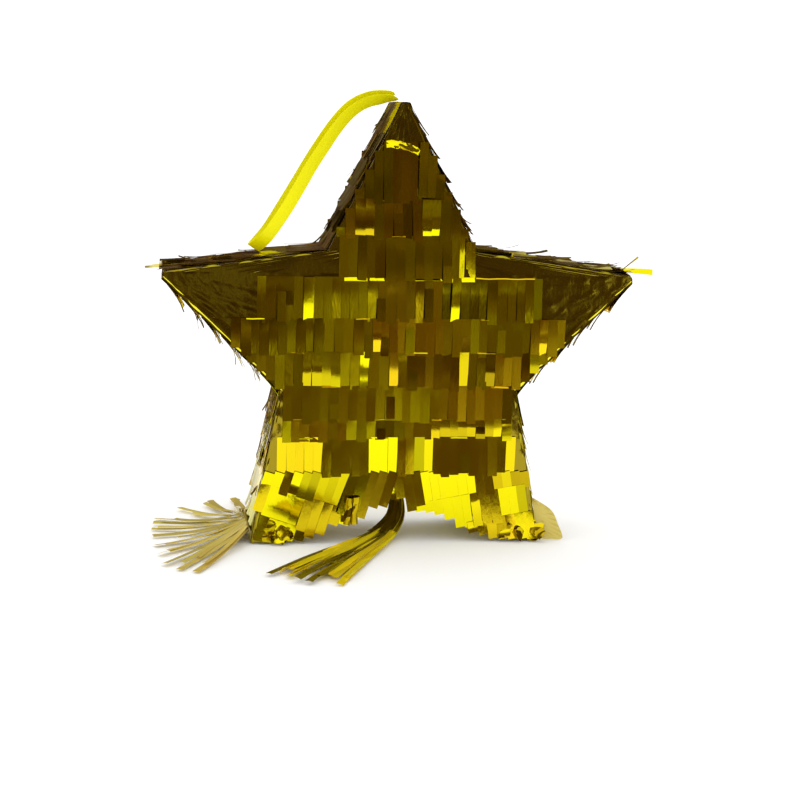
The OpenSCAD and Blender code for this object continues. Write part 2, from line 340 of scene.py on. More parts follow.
class Pile:
    """Thin closed sheets gathered into one mesh, each with a tone of its own."""

    def __init__(self):
        self.points, self.tones, self.faces, self.sides = [], [], [], []
        self.count = 0

    def add(self, grid, tone, thickness=FILM):
        """grid is rows by columns by 3, the middle of a sheet, rows downwards and columns to the right as
        seen from its outer side. tone is how bright the sheet is, which paints a darker or lighter
        reflection, then hue and haze, each from 0 to 1."""
        rows, cols = grid.shape[:2]
        normal = np.cross(np.gradient(grid, axis=0), np.gradient(grid, axis=1))
        normal /= np.maximum(np.linalg.norm(normal, axis=2, keepdims=True), 1e-12)
        self.points.append((grid + normal * thickness / 2).reshape(-1, 3))
        self.points.append((grid - normal * thickness / 2).reshape(-1, 3))
        size = rows * cols
        index = self.count + np.arange(size).reshape(rows, cols)
        quads = np.stack([index[:-1, :-1], index[1:, :-1], index[1:, 1:], index[:-1, 1:]], -1).reshape(-1, 4)
        rim = np.concatenate([index[0, :-1], index[:-1, -1], index[-1, :0:-1], index[:0:-1, 0]])
        turn = np.roll(rim, -1)
        border = np.stack([rim, turn, turn + size, rim + size], -1)
        for faces, reverse in ((quads, 0), (quads[:, ::-1] + size, 1), (border, 0)):
            self.faces.extend(faces.tolist())
            self.sides.extend([reverse] * len(faces))
        self.tones.append(np.tile(np.array([*tone, 1.0]), (2 * size, 1)))
        self.count += 2 * size

    def build(self, name, replaced, body="star", slot="fringe_gold", outer=GOLD, inner=PALE):
        """The pile as one object that rides on body and stands for the CAD nodes in replaced."""
        mesh = bpy.data.meshes.new(name)
        mesh.from_pydata(np.concatenate(self.points).tolist(), [], self.faces)
        mesh.materials.append(outer)
        mesh.materials.append(inner)
        mesh.polygons.foreach_set("material_index", self.sides)
        mesh.polygons.foreach_set("use_smooth", [True] * len(mesh.polygons))
        tone = mesh.attributes.new("tone", "FLOAT_COLOR", "POINT")
        tone.data.foreach_set("color", np.concatenate(self.tones).astype(np.float32).ravel())
        mesh.set_sharp_from_angle(angle=radians(55))
        piece = new_object(name, mesh)
        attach(piece, body)
        if replaced:
            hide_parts(*replaced)
        return piece


def unit(v):
    return v / np.linalg.norm(v)


def sheet(rows, cols, place):
    """The grid of points that place(row, column) gives over two series of values."""
    return np.array([[place(row, col) for col in cols] for row in rows], float)


# How a strip's tilt grows along it, and the lowest that its film comes to the table
CURL = 1.5
TAB_FLOOR = 1.2 * MM


def tab(pile, root, down, out, length, width, tone, angles=(0.0, 0.0), yaw=0.0, lean=0.0, rows=6, bow=0.0,
        lift=0.9 * MM):
    """One cut strip of film, fixed along its top edge at root. It runs down, stands off the surface by
    angles at its top and its end, turns by yaw about its length and leans sideways by lean."""
    down, out = np.array(down, float), np.array(out, float)
    side = np.cross(out, down)
    v = np.linspace(0, 1, rows)
    turning = angles[0] + (angles[1] - angles[0]) * v ** CURL
    step = length / (rows - 1)
    middle = (turning[1:] + turning[:-1]) / 2
    along = np.concatenate([[0], np.cumsum(np.cos(middle) * step)])[:, None]
    away = np.concatenate([[0], np.cumsum(np.sin(middle) * step)])[:, None]
    u = np.linspace(-0.5, 0.5, 3)[None, :]
    growth = np.minimum(1, v * 3)[:, None]
    away = away + width * (sin(yaw) * u * growth + bow * (0.25 - u ** 2))
    away = away + max(lift, 0.4 * MM - away.min())
    across = u * width * cos(yaw) + lean * along
    grid = (np.array(root, float) + side * across[..., None] + down * (along + 0 * u)[..., None]
            + out * away[..., None])
    grid[..., 2] = np.maximum(grid[..., 2], TAB_FLOOR)
    pile.add(grid, tone)


def lean_angles(kind, z):
    """The angles at a strip's top and its end. Upright film 0.1 m up mirrors the table's edge: a strip that
    leans back further mirrors the pale table, and one that stands off mirrors the darker room."""
    edge = 0.087 - atan2(z, TABLE_R) / 2
    flat = max(0.0, edge + 0.04)
    back = min(0.0, edge) - 0.03
    return {"dark": (flat, flat + 0.01), "bright": (back, back - 0.01),
            "bright_end": (flat + 0.03, back - 0.12),
            "dark_end": (back - 0.03, flat + 0.16), "off": (flat + 0.09, flat + 0.02)}[kind]


# Shares of the handfuls that are of each kind, high on the star and near the table
HIGH_KINDS = {"dark": 0.66, "bright_end": 0.05, "bright": 0.04, "off": 0.25}
ROW_8_KINDS = {"dark": 0.5, "bright_end": 0.38, "bright": 0.12}
LOW_KINDS = {"bright": 0.44, "dark": 0.38, "dark_end": 0.10, "bright_end": 0.08}
# Patches that stand out on the front: left, right, low and high edge in millimetres, the kind and the tone,
# whose first value paints a darker or lighter reflection on the patch
SEEN = [
    (12, 27, 270, 295, "bright", (0.9, 1, 0)), (-8, 10, 270, 295, "dark", (0.3, 0, 0.1)),
    (-27, -12, 270, 295, "off", (0.5, 1, 0.1)), (14, 28, 240, 255, "bright_end", (1, 1, 0)),
    (6, 13, 240, 255, "off", (0.8, 0.1, 0)), (-11, -2, 240, 255, "off", (0.9, 0.2, 0)),
    (-1, 5, 240, 255, "dark", (0, 0.2, 0)), (-34, -18, 240, 255, "bright_end", (0.6, 0.2, 0.1)),
    (-128, -60, 146, 172, "off", None), (-74, -64, 174, 206, "bright", (1, 1, 0)),
    (-113, -103, 174, 206, "bright_end", (0.9, 0.9, 0.1)),
    (37, 47, 170, 200, "bright_end", (1, 1, 0.2)), (66, 99, 172, 203, "off", (0.85, 1, 0)),
    (-63, -4, 172, 203, "dark", None), (-20, -10, 148, 171, "bright_end", (1, 0, 0)),
    (71, 99, 148, 172, "dark", (0.55, 1, 0)), (104, 115, 150, 165, "bright_end", (1, 0.1, 0)),
    (-30, -21, 133, 148, "dark_end", (1, 1, 0)), (-90, 90, 97, 121, "dark", None),
    (-19, -2, 56, 84, "bright", (1, 1, 0)), (-55, -20, 56, 84, "dark", (0.6, 0.7, 0.1)),
    (24, 70, 56, 84, "dark", (0.5, 0.3, 0.1)), (-102, -72, 6, 50, "bright", (1, 0.9, 0)),
    (-72, -44, 8, 36, "dark", (0.5, 0.3, 0.2)), (18, 58, 12, 56, "bright", (1, 0.9, 0.1)),
    (60, 81, 27, 47, "dark", (0.5, 0.3, 0.1)), (0, 18, 12, 56, "dark", (0.6, 0.5, 0.1))]

# Share of the strips in a patch that take its kind
PATCH_SHARE = 0.92


class Handful:
    """Tilts and tones that stay alike over a few neighbouring strips and then jump. The tones paint each
    strip's reflection darker or lighter, darker on average as dark grows.
    """

    def __init__(self, rng, kinds, yaw=0.06, dark=0.3, change=0.34):
        self.rng, self.kinds, self.spread, self.dark, self.change = rng, kinds, yaw, dark, change
        self.jump()

    def jump(self):
        rng = self.rng
        self.kind = rng.choices(list(self.kinds), list(self.kinds.values()))[0]
        self.shake = rng.gauss(0, 0.008)
        self.yaw = rng.gauss(0, self.spread)
        # Painted reflection: a lower tone darkens the strip's film, as if it mirrored the dark room
        self.tone = min(1, max(0, rng.gauss(1 - self.dark, 0.4)))
        self.hue = rng.random() ** 0.8

    def next(self, x=None, z=0.1):
        """Angles, yaw and tone of the next strip. x is given for one on the front."""
        rng = self.rng
        if rng.random() < self.change:
            self.jump()
        kind = self.kind
        tone = (min(1, max(0, self.tone + rng.gauss(0, 0.05))),
                min(1, max(0, self.hue + rng.gauss(0, 0.05))), rng.random() ** 2)
        if x is not None:
            for left, right, low, high, its_kind, its_tone in SEEN:
                if left <= x / MM <= right and low <= z / MM <= high:
                    kind = its_kind if rng.random() < PATCH_SHARE else kind
                    tone = its_tone or tone
        shake = self.shake + rng.gauss(0, 0.005)
        angles = tuple(angle + shake for angle in lean_angles(kind, z))
        return angles, self.yaw + rng.gauss(0, 0.008), tone


def sweep(pile, route, wide, half_widths, tone, cup):
    """A strip along route, with a direction across and a half width at each point."""
    along = np.gradient(route, axis=0)
    halves = half_widths + np.zeros(len(route))
    grid = []
    for i, point in enumerate(route):
        ahead = along[i] / max(np.linalg.norm(along[i]), 1e-9)
        across = unit(wide[i] - wide[i].dot(ahead) * ahead)
        face = np.cross(ahead, across)
        grid.append([point + across * halves[i] * u + face * cup * (1 - u * u) for u in (-1, 0, 1)])
    pile.add(np.array(grid), tone)


def strand(pile, rng, start, ahead, length, width, tone, droop=0.0, twist=0.6, facing=(0, 1, 0)):
    """A loose strip that sticks out from start and droops."""
    ahead = unit(np.array(ahead, float))
    s = np.linspace(0, 1, 10)
    route = np.array(start) + ahead * (s * length)[:, None] + np.array([0, 0, -1]) * (s ** 2 * droop)[:, None]
    first = unit(np.array(facing, float) + 1e-4)
    other = np.cross(ahead, first)
    turns = twist * s + rng.uniform(-0.3, 0.3)
    wide = [first * cos(t) + other * sin(t) for t in turns]
    sweep(pile, route, wide, width / 2, tone, cup=0.2 * MM)


def crumple(pile, rng, place, size, facing, tone, height):
    """A small sheet of film, crushed."""
    facing = unit(np.array(facing, float))
    across = unit(np.cross([0, 0, 1.0], facing) + 1e-6)
    down = np.cross(facing, across)
    turn = rng.uniform(-0.8, 0.8)
    across, down = (across * cos(turn) + down * sin(turn),
                    down * cos(turn) - across * sin(turn))
    seed = rng.uniform(0, 100)

    def crushed(r, c):
        u, v = (c / 6 - 0.5) * size[0], (r / 6 - 0.5) * size[1]
        bend = noise.noise_vector((u * 130, v * 130, seed))
        return (np.array(place) + across * (u + bend.x * height) + down * (v + bend.y * height)
                + facing * bend.z * height * 1.6)

    grid = sheet(range(7), range(7), crushed)
    grid[..., 2] = np.maximum(grid[..., 2], 0.8 * MM)
    pile.add(grid, tone)


make_camera()

# noise_vector's offsets come from this seed, and from the clock without one
NOISE_SEED = 7
noise.seed_set(NOISE_SEED)

# ---------- ribbon loop: the cord, whose route repeats the CAD's ----------

RIBBON_W = 9.5 * MM
RIBBON_T = 0.3 * MM
LOOP_ROUTE = [
    (-1.2, -0.5, 1.2), (-7, -0.5, 2), (-14, -1.5, 1), (-22, -3, -0.5), (-31, -4, -4.5), (-40, -4, -12),
    (-49, -5, -23), (-57, -6, -35), (-66, -7, -49), (-75, -10, -64.5), (-85, -14, -81),
    (-96, -17, -97), (-102, -15, -104.5), (-107, -8, -109.5), (-109, 0, -111.2), (-107, 8, -109.5),
    (-102, 15, -104.5), (-96, 17, -97), (-85, 14, -78.5), (-75, 10, -61), (-66, 7, -45),
    (-57, 6, -30.5), (-49, 5, -18.5), (-40, 4, -7.5), (-31, 4, -0.5), (-22, 3, 3.5), (-14, 2, 5),
    (-8, 1, 5.5), (-3.4, 0.5, 5)]
LOOP_SIDE = np.array([0.84, 0, -0.54])


def smooth_route(points, steps):
    """A Catmull-Rom curve through the points, with steps stretches between each two."""
    p = np.array(points, float)
    ends = np.vstack([2 * p[0] - p[1], p, 2 * p[-1] - p[-2]])
    curve = []
    for i in range(1, len(ends) - 2):
        a, b, c, d = ends[i - 1:i + 3]
        for t in np.arange(steps) / steps:
            curve.append(0.5 * (2 * b + (c - a) * t + (2 * a - 5 * b + 4 * c - d) * t ** 2
                                + (3 * b - a - 3 * c + d) * t ** 3))
    return np.array(curve + [p[-1]])


def ribbon_grid(route, turn, half_width, cup):
    """The middle surface of a ribbon along route, turned by turn(share of its length), and cupped."""
    along = np.gradient(route, axis=0)
    grid = []
    for i, point in enumerate(route):
        ahead = unit(along[i])
        level = unit(LOOP_SIDE - LOOP_SIDE.dot(ahead) * ahead)
        angle = turn(i / (len(route) - 1))
        wide = cos(angle) * np.array([0, 1, 0]) + sin(angle) * level
        wide = unit(wide - wide.dot(ahead) * ahead)
        face = np.cross(ahead, wide)
        grid.append([point + wide * half_width * u + face * cup * (1 - u * u) for u in (-1, -0.5, 0, 0.5, 1)])
    return np.array(grid)


def make_ribbon():
    route = smooth_route(LOOP_ROUTE, 4) * MM + LOOP_PIVOT
    pile = Pile()
    pile.add(ribbon_grid(route, lambda s: pi / 2 * sqrt(sin(pi * min(s, 1))),
                         RIBBON_W / 2, 0.2 * MM), (0.5, 0.5, 0.5), RIBBON_T)
    loop = pile.build("ribbon_loop", ["hanging_loop"], "loop", "ribbon", RIBBON, RIBBON)


make_ribbon()
make_floor()
make_world()
bpy.context.scene.view_settings.view_transform = "Standard"

# ---------- film skin ----------

TIPS = [(corner(i) + corner(i + 1)) / 2 for i in (1, 4, 7, 10, 13)]


def crinkle(x, z, seed):
    """Height of crinkled film, about 0 to 1, with creases that run out to the nearest point of the star."""
    tip = min(TIPS, key=lambda t: (t[0] - x) ** 2 + (t[1] - z) ** 2)
    reach = hypot(x - tip[0], z - tip[1]) + 4 * MM
    angle = atan2(z - tip[1], x - tip[0])
    long_crease = noise.noise((cos(angle) * 7, sin(angle) * 7, seed + reach * 14))
    dent = noise.noise((x * 120, z * 90, seed + 7.3))
    return 0.75 - abs(long_crease) * 1.5 + 0.4 * (0.6 - abs(dent) * 1.8)


SKIN_STEP = 2.4 * MM
SKIN_HEIGHT = 1.0 * MM
# Walls whose front edge shows as a bright crease, a painted highlight in full tone while the other edges get
# a painted dark reflection: right of the top point, and under both arms
PAINTED_HIGHLIGHT_EDGES = (0, 5, 12)


def skin_block(pile, side, z_low, z_high, left, right, tone):
    """A crumpled sheet on the front (side -1) or back (1), between two outlines left(z) and right(z)."""
    y = FACE_Y[side]
    rows = max(2, int((z_high - z_low) / SKIN_STEP) + 1)
    widest = max(right(z) - left(z) for z in (z_low, (z_low + z_high) / 2, z_high))
    cols = max(2, int(widest / SKIN_STEP) + 1)
    grid = np.zeros((rows, cols, 3))
    for r, z in enumerate(np.linspace(z_high, z_low, rows)):
        for c, x in enumerate(np.linspace(left(z), right(z), cols)):
            rise = crinkle(x, z, 3.1 * side) * SKIN_HEIGHT - 0.5 * MM
            grid[r, c] = (x, y + side * max(rise, 0.05 * MM), z)
    pile.add(grid if side < 0 else grid[:, ::-1], tone)


def film_skin(side):
    pile = Pile()
    # A low tone: a painted dark reflection over the whole crinkled skin
    tone = (0.1, 0.3, 0.2)
    crotch_z = corner(9)[1]
    levels = sorted([*(corner(i)[1] for i in (1, 3, 4, 6, 9)), WINDOW_HIGH.z] + [WINDOW_LOW.z] * (side > 0))
    for low, high in zip(levels, levels[1:]):
        inset = 1e-6
        edge_l = lambda z, low=low, high=high: -span(min(max(z, low + inset), high - inset), False)
        edge_r = lambda z, low=low, high=high: span(min(max(z, low + inset), high - inset))
        if side > 0 and low >= WINDOW_LOW.z - 1e-6 and high <= WINDOW_HIGH.z + 1e-6:
            skin_block(pile, side, low, high, edge_l, lambda z: WINDOW_LOW.x, tone)
            skin_block(pile, side, low, high, lambda z: WINDOW_HIGH.x, edge_r, tone)
        else:
            skin_block(pile, side, low, high, edge_l, edge_r, tone)
    near = lambda z: (crotch_z - z) / crotch_z * corner(10)[0]
    skin_block(pile, side, 0.2 * MM, crotch_z, lambda z: -span(z, False), lambda z: -near(z), tone)
    skin_block(pile, side, 0.2 * MM, crotch_z, near, span, tone)
    for i in WALLS:
        # Painted highlight on the chosen front edges, a painted dark reflection on the rest
        bright = side < 0 and i in PAINTED_HIGHLIGHT_EDGES
        edge_roll(pile, i, side, (1.0, 0.85, 0.1) if bright else (0.25, 0.6, 0.3))
    name = "front" if side < 0 else "back"
    pile.build(f"{name}_film_skin", [f"{name}_foil", f"{name}_tip_cap"], "star", "film_gold", SKIN)


def wall_frame(i):
    """(start, direction along the wall, outward normal, length) of wall i, as 3-D vectors."""
    a, b = corner(i), corner(i + 1)
    d = unit(b - a)
    return (np.array([a[0], 0, a[1]]), np.array([d[0], 0, d[1]]), np.array([d[1], 0, -d[0]]),
            float(np.linalg.norm(b - a)))


EDGE_ROLL = 2.2 * MM


def edge_roll(pile, i, side, tone):
    """The film where it is folded round the edge between a panel and wall i."""
    start, along, out, length = wall_frame(i)
    face = np.array([0, side, 0])
    count = int(length / (2 * MM))
    y = FACE_Y[side]
    grid = []
    for s in np.linspace(0, length, count):
        point = start + along * s
        swell = 1.3 * MM * noise.noise((s * 75, 9.0 + i, side)) - 0.2 * MM
        line = []
        for angle in np.linspace(0, pi / 2, 6):
            inward = EDGE_ROLL * (1 - sin(angle)) - swell * sin(angle) - 0.3 * MM
            depth = EDGE_ROLL * (1 - cos(angle)) - swell * cos(angle) - 0.5 * MM
            line.append(point + np.array([0, y, 0]) - out * inward - face * depth)
        grid.append(line)
    grid = np.array(grid)
    pile.add(grid if side > 0 else grid[:, ::-1], tone)


film_skin(-1)
film_skin(1)

# ---------- fringe rows on the front and back ----------

TAB_W = 7.0 * MM
OVERLAP = 6 * MM
# How far each row reaches from the middle, where it stops short of the star's edge
ROW_REACH = {3: 47 * MM, 4: 107 * MM, 5: 126 * MM}

LAST_ROW = 9
# The stretch of the last row that hangs lower over the crotch, and by how much
LOW_FROM, LOW_TO, LOW_BY = -20 * MM, -1 * MM, 15 * MM
SHORTEST_TAB = 5 * MM
SECOND_LAYER = 0.07


def fringe_row(j, side, pile, left, right, rng, overlap=OVERLAP):
    """Row j of tabs on one side, between two x at its top edge."""
    low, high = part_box(f"front_fringe_{j}")
    y = FACE_Y[side]
    hand = Handful(rng, LOW_KINDS if j > 8 else ROW_8_KINDS if j == 8 else HIGH_KINDS)
    x = left
    while x < right - 0.4 * TAB_W:
        width = min(TAB_W * rng.uniform(0.88, 1.1), right - x)
        middle = x + width / 2
        x += width
        top = min(high.z, highest(middle) - 1 * MM)
        end = max(low.z - overlap * rng.uniform(0.1, 0.7), lowest(middle) + 1 * MM)
        angles, yaw, tone = hand.next(middle if side < 0 else None, (top + low.z) / 2)
        if j == LAST_ROW and LOW_FROM < middle < LOW_TO:
            end -= LOW_BY
        if top - end < SHORTEST_TAB:
            continue
        tab(pile, (middle, y, top), (0, 0, -1), (0, side, 0), top - end, width * 1.01, tone, angles, yaw,
            rng.gauss(0, 0.012), lift=(0.9 + 0.25 * (j % 2)) * MM, bow=rng.gauss(0, 0.006))
        if rng.random() < SECOND_LAYER:
            share = rng.uniform(0.45, 0.8)
            start = end + (top - end) * share
            again = tuple(a + rng.gauss(0.03, 0.06) for a in angles)
            tab(pile, (middle + rng.gauss(0, 0.8) * MM, y, start), (0, 0, -1), (0, side, 0),
                (start - end) * rng.uniform(0.9, 1.06), width * rng.uniform(0.94, 1.02),
                (rng.random(), rng.random(), rng.random() ** 2), again, yaw, lift=2.0 * MM, rows=4)


def fold_line(pile, j, side, left, right, tone, rng, drop=0.0, height=2.2 * MM, pitch=0.2):
    """The folded top edge of a row, where it shows as a thin bright line."""
    low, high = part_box(f"front_fringe_{j}")
    y = FACE_Y[side]
    x = np.linspace(left, right, max(2, int((right - left) / (3 * MM))))
    grid = np.zeros((3, len(x), 3))
    for c, value in enumerate(x):
        wave = noise.noise((value * 90, j * 3.7, rng.random() * 0.2)) * 0.6 * MM
        top = min(high.z, highest(value) - 1 * MM) - drop + wave
        for r, (away, down) in enumerate(((0.9, 0.0), (1.4 + 5 * pitch / 2, 0.5), (1.2 + 10 * pitch, 1.0))):
            grid[r, c] = (value, y + side * away * MM, top - down * height)
    pile.add(grid if side < 0 else grid[:, ::-1], tone)


# The fold over row 1, in millimetres: its ends, its dip to the right, and how far apart its lines are
TIP_LEFT, TIP_RIGHT, TIP_DIP, TIP_PITCH = -14, 16, 8, 1.1


def tip_fold():
    """The crushed fold of film over the front's row 1, which dips to the right."""
    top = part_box("front_fringe_1")[1].z

    def crushed(r, x):
        dip = TIP_DIP * ((x - TIP_LEFT) / (TIP_RIGHT - TIP_LEFT)) ** 2
        bend = noise.noise_vector((x * 0.22, r * 0.5, 4.0))
        return ((x + bend.x) * MM, FRONT_Y - (4.0 - 0.3 * r + 1.5 * bend.y) * MM,
                top + (1 - dip - TIP_PITCH * r + 1.5 * bend.z) * MM)

    pile = Pile()
    pile.add(sheet(range(6), np.linspace(TIP_LEFT, TIP_RIGHT, 19), crushed), (0.95, 0.8, 0.2))
    pile.build("tip_fold", [], inner=GOLD)


WINDOW_ROWS = (5, 6, 7)
WINDOW_GAP = 0.5 * MM
# Stretches of row 4's folded edge that show, in millimetres, and the long thin one on the right
FOLDS = ((-43, -26), (-24, -13), (10, 31), (32, 44), (45, 55))
LONG_FOLD = (56, 101)
# The strip of row 3 that hangs loose on the right
LOOSE_ROOT = (51 * MM, FRONT_Y - 3.5 * MM, 230 * MM)
LOOSE_LENGTH = 28 * MM


def make_fringe_rows():
    for side, name in ((-1, "front"), (1, "back")):
        for j in range(1, LAST_ROW + 1):
            rng = random.Random(100 * j + side + 7)
            low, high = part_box(f"front_fringe_{j}")
            half = min(max(span(high.z - 1e-5), span(low.z + 1e-5)), ROW_REACH.get(j, 1))
            if j > 7:
                half = span((high.z + low.z) / 2)
            stretches = [(-half, half)]
            if side > 0 and j in WINDOW_ROWS:
                stretches = [(-half, WINDOW_LOW.x), (WINDOW_HIGH.x, half)]
                flap = Pile()
                fringe_row(j, side, flap, WINDOW_LOW.x + WINDOW_GAP, WINDOW_HIGH.x - WINDOW_GAP, rng)
                flap.build(f"flap_fringe_{j - 4}_tabs", [f"flap_fringe_{j - 4}"], "flap")
            pile = Pile()
            for left, right in stretches:
                fringe_row(j, side, pile, left, right, rng, 0 if side > 0 and j == 4 else OVERLAP)
            if side < 0 and j == 1:
                tip_fold()
            if side < 0 and j == 3:
                strand(pile, rng, LOOSE_ROOT, (0.04, 0.13, -1), LOOSE_LENGTH, TAB_W, (1, 0.7, 0.1), 0, 0,
                       (1, 0, 0))
            if side < 0 and j == 4:
                for left, right in FOLDS:
                    fold_line(pile, j, side, left * MM, right * MM, (1, 1, 0.2), rng,
                              rng.uniform(-0.5, 0.6) * MM, rng.uniform(1.8, 3.2) * MM)
                fold_line(pile, j, side, LONG_FOLD[0] * MM, LONG_FOLD[1] * MM, (0.7, 0.0, 0.3), rng,
                          height=1.3 * MM, pitch=0.04)
            elif j > 1 and not (side > 0 and j in WINDOW_ROWS):
                x = -half + rng.uniform(5, 40) * MM
                while x < half - 15 * MM:
                    long = rng.uniform(6, 14) * MM
                    tone = (rng.uniform(0.4, 0.9), rng.random(), 0.3)
                    fold_line(pile, j, side, x, min(x + long, half), tone, rng,
                              height=rng.uniform(0.7, 1.2) * MM, pitch=rng.uniform(0.02, 0.2))
                    x += long + rng.uniform(35, 90) * MM
            pile.build(f"{name}_fringe_{j}_tabs", [f"{name}_fringe_{j}"])


make_fringe_rows()

# ---------- leaning rows on the legs, with the same lean and cuts as the CAD's ----------

LEG_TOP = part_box("front_fringe_9")[0].z
LEG_LEAN = {"left": radians(18), "right": radians(-10)}
LEG_FIRST = {"left": 13 * MM, "right": 27 * MM}
LEG_PITCH = {"left": 24 * MM, "right": 22 * MM}
LEG_OVERHANG = 18 * MM
# Random seeds of a leg's front rows, back rows and scraps
LEG_SEEDS = {"left": (500, 600, 31), "right": (540, 640, 32)}


def leg_outline(leg):
    outer, inner, waist = (corner(7), corner(8), corner(6)) if leg == "left" else \
        (corner(11), corner(10), corner(12))
    sign = -1 if leg == "left" else 1
    return [np.array(p) for p in (
        (0, LEG_TOP), (0, corner(9)[1] - LEG_OVERHANG), (inner[0] - sign * LEG_OVERHANG, 0), outer,
        outer + (waist - outer) * LEG_TOP / waist[1])]


def cut_along(polygon, axis, value, other):
    """Where the line of points whose coordinate on axis is value crosses a convex polygon, along other."""
    found = []
    for a, b in zip(polygon, polygon[1:] + polygon[:1]):
        at, bt = a.dot(axis), b.dot(axis)
        if (at - value) * (bt - value) <= 0 and abs(at - bt) > 1e-9:
            found.append((a + (b - a) * (value - at) / (bt - at)).dot(other))
    return (min(found), max(found)) if len(found) > 1 else None


def leg_rows(pile_for, leg, side, seed):
    lean = LEG_LEAN[leg]
    polygon = leg_outline(leg)
    up = np.array([sin(lean), cos(lean)])
    right = np.array([cos(lean), -sin(lean)])
    y = FACE_Y[side]
    reach = [p.dot(right) for p in polygon]
    for strip in (1, 2, 3):
        rng = random.Random(seed + strip)
        hand = Handful(rng, LOW_KINDS, change=0.33)
        pile = pile_for(strip)
        top_w = 1 if strip == 1 else LEG_FIRST[leg] - LEG_PITCH[leg] * (strip - 2)
        floor_w = -1 if strip == 3 else LEG_FIRST[leg] - LEG_PITCH[leg] * (strip - 1)
        u = min(reach)
        while u < max(reach) - 2 * MM:
            width = TAB_W * rng.uniform(0.9, 1.12)
            middle = u + width / 2
            u += width
            cut = cut_along(polygon, right, middle, up)
            if cut is None:
                continue
            top, end = min(cut[1], top_w), max(cut[0], floor_w)
            if top - end < 3 * MM:
                continue
            end -= rng.uniform(1, 5) * MM if end > cut[0] + 1e-6 else rng.uniform(-2.5, 2.5) * MM
            place = right * middle + up * top
            centre = place - up * (top - end) / 2
            angles, yaw, tone = hand.next(centre[0] if side < 0 else None, centre[1])
            end = max(end, top - max(0.0, place[1] - 2 * MM) / up[1])
            if top - end < 3 * MM:
                continue
            tab(pile, (place[0], y, place[1]), (-up[0], 0, -up[1]), (0, side, 0), top - end, width * 1.01,
                tone, angles, yaw, lift=(2.4 - 0.35 * strip) * MM, bow=rng.gauss(0, 0.006))


def make_legs():
    for leg in ("left", "right"):
        piles = {strip: Pile() for strip in (1, 2, 3)}
        leg_rows(piles.get, leg, -1, LEG_SEEDS[leg][0])
        scraps = Pile()
        foot_scraps(scraps, leg)
        scraps.build(f"{leg}_foot_scraps", [], inner=GOLD)
        for strip, pile in piles.items():
            node = f"front_{leg}_leg_fringe_{strip}"
            pile.build(f"{node}_tabs", [node])
        back = Pile()
        leg_rows(lambda strip: back, leg, 1, LEG_SEEDS[leg][1])
        back.build(f"back_{leg}_leg_tabs", [f"back_{leg}_leg_fringe"])


# The scraps' reach from the middle in millimetres. The left foot's stay clear of its tassel
SCRAPS_FROM, SCRAPS_TO = 84, {"left": 98, "right": 112}
# The rolled scrap inside the left leg, at its top
ROLL_X, ROLL_TOP = -33 * MM, 37


def foot_scraps(pile, leg):
    """The crushed ends of film round the front of a foot."""
    rng = random.Random(LEG_SEEDS[leg][2])
    sign = -1 if leg == "left" else 1
    for k in range(9):
        x = sign * rng.uniform(SCRAPS_FROM, SCRAPS_TO[leg]) * MM
        crumple(pile, rng, (x, FRONT_Y - rng.uniform(1, 8) * MM, rng.uniform(3, 13) * MM),
                (rng.uniform(6, 13) * MM, rng.uniform(5, 10) * MM), (rng.uniform(-0.6, 0.6), -1, 0.4),
                (rng.random(), rng.random() * 0.7, rng.random()), 2.2 * MM)
    if leg == "left":
        def rolled(r, turn):
            radius = (1.6 + 0.42 * turn) * MM * (1 + 0.12 * sin(2 * turn + r))
            return (ROLL_X + radius * cos(turn) - 0.25 * r * MM,
                    FRONT_Y - 7.5 * MM + radius * sin(turn), (ROLL_TOP - 2.6 * r) * MM)

        pile.add(sheet(range(9), np.linspace(0, 3.4 * pi, 40), rolled), (0.35, 0.3, 0.3))


make_legs()

# ---------- walls: a film skin each, and rows of strips that hang down along it ----------

WALL_PITCH = 19 * MM
WALL_TAB = 7.0 * MM
# How far the strips stand off at their ends, by wall
WALL_FLARE = {3: 0.10, 14: 0.12, 5: 0.42, 12: 0.36, 6: 0.10, 11: 0.12, 8: 0.06, 9: 0.06, 0: 0.26, 2: 0.10}
# Share of the strips that stand off further, and the walls by the crotch tassel, where none do
LOOSE_SHARE = 0.09
CLOSE_WALLS = (8, 9)


def wall_skin(pile, i):
    start, along, out, length = wall_frame(i)

    def crinkled(s, y):
        rise = (0.9 - 1.1 * abs(noise.noise((s * 60, y * 130, 17.0 + i)))) * MM
        return start + along * s + np.array([0, y, 0]) + out * max(rise, 0.2 * MM)

    grid = sheet(np.linspace(0, length, int(length / (3 * MM))),
                 np.linspace(-WALL_HALF, WALL_HALF, int(2 * WALL_HALF / (3 * MM))), crinkled)
    grid[..., 2] = np.maximum(grid[..., 2], 0.5 * MM)
    # A low tone: a painted dark reflection on the wall's crinkled film
    pile.add(grid, (0.3, 0.3, 0.4))


def wall_tabs(pile, i, rng):
    start, along, out, length = wall_frame(i)
    if along[2] > 0:
        start, along = start + along * length, -along
    # Low tones: a painted dark reflection on the wall strips
    hand = Handful(rng, {"dark": 1.0}, yaw=0.12, dark=0.45)
    count = round(length / WALL_PITCH)
    pitch = length / count
    for r in range(count):
        y = -WALL_HALF
        while y < WALL_HALF - 2 * MM:
            width = min(WALL_TAB * rng.uniform(0.85, 1.15), WALL_HALF - y)
            middle = y + width / 2
            y += width
            angles, yaw, tone = hand.next()
            flare = WALL_FLARE[i] + rng.gauss(0, 0.05)
            if rng.random() < LOOSE_SHARE and i not in CLOSE_WALLS:
                flare += rng.uniform(0.2, 0.5)
            root = start + along * (r * pitch + 0.5 * MM) + np.array([0, middle, 0])
            long = pitch * rng.uniform(1.15, 1.5)
            left = (root[2] - 2 * MM) / max(-along[2], 1e-3)
            long = min(long, left, length - r * pitch + 3 * MM)
            if long > 5 * MM:
                tab(pile, root, along, out, long, width * 0.95, tone, (0.02, flare), yaw, rng.gauss(0, 0.04),
                    lift=1.1 * MM, bow=rng.gauss(0, 0.05))


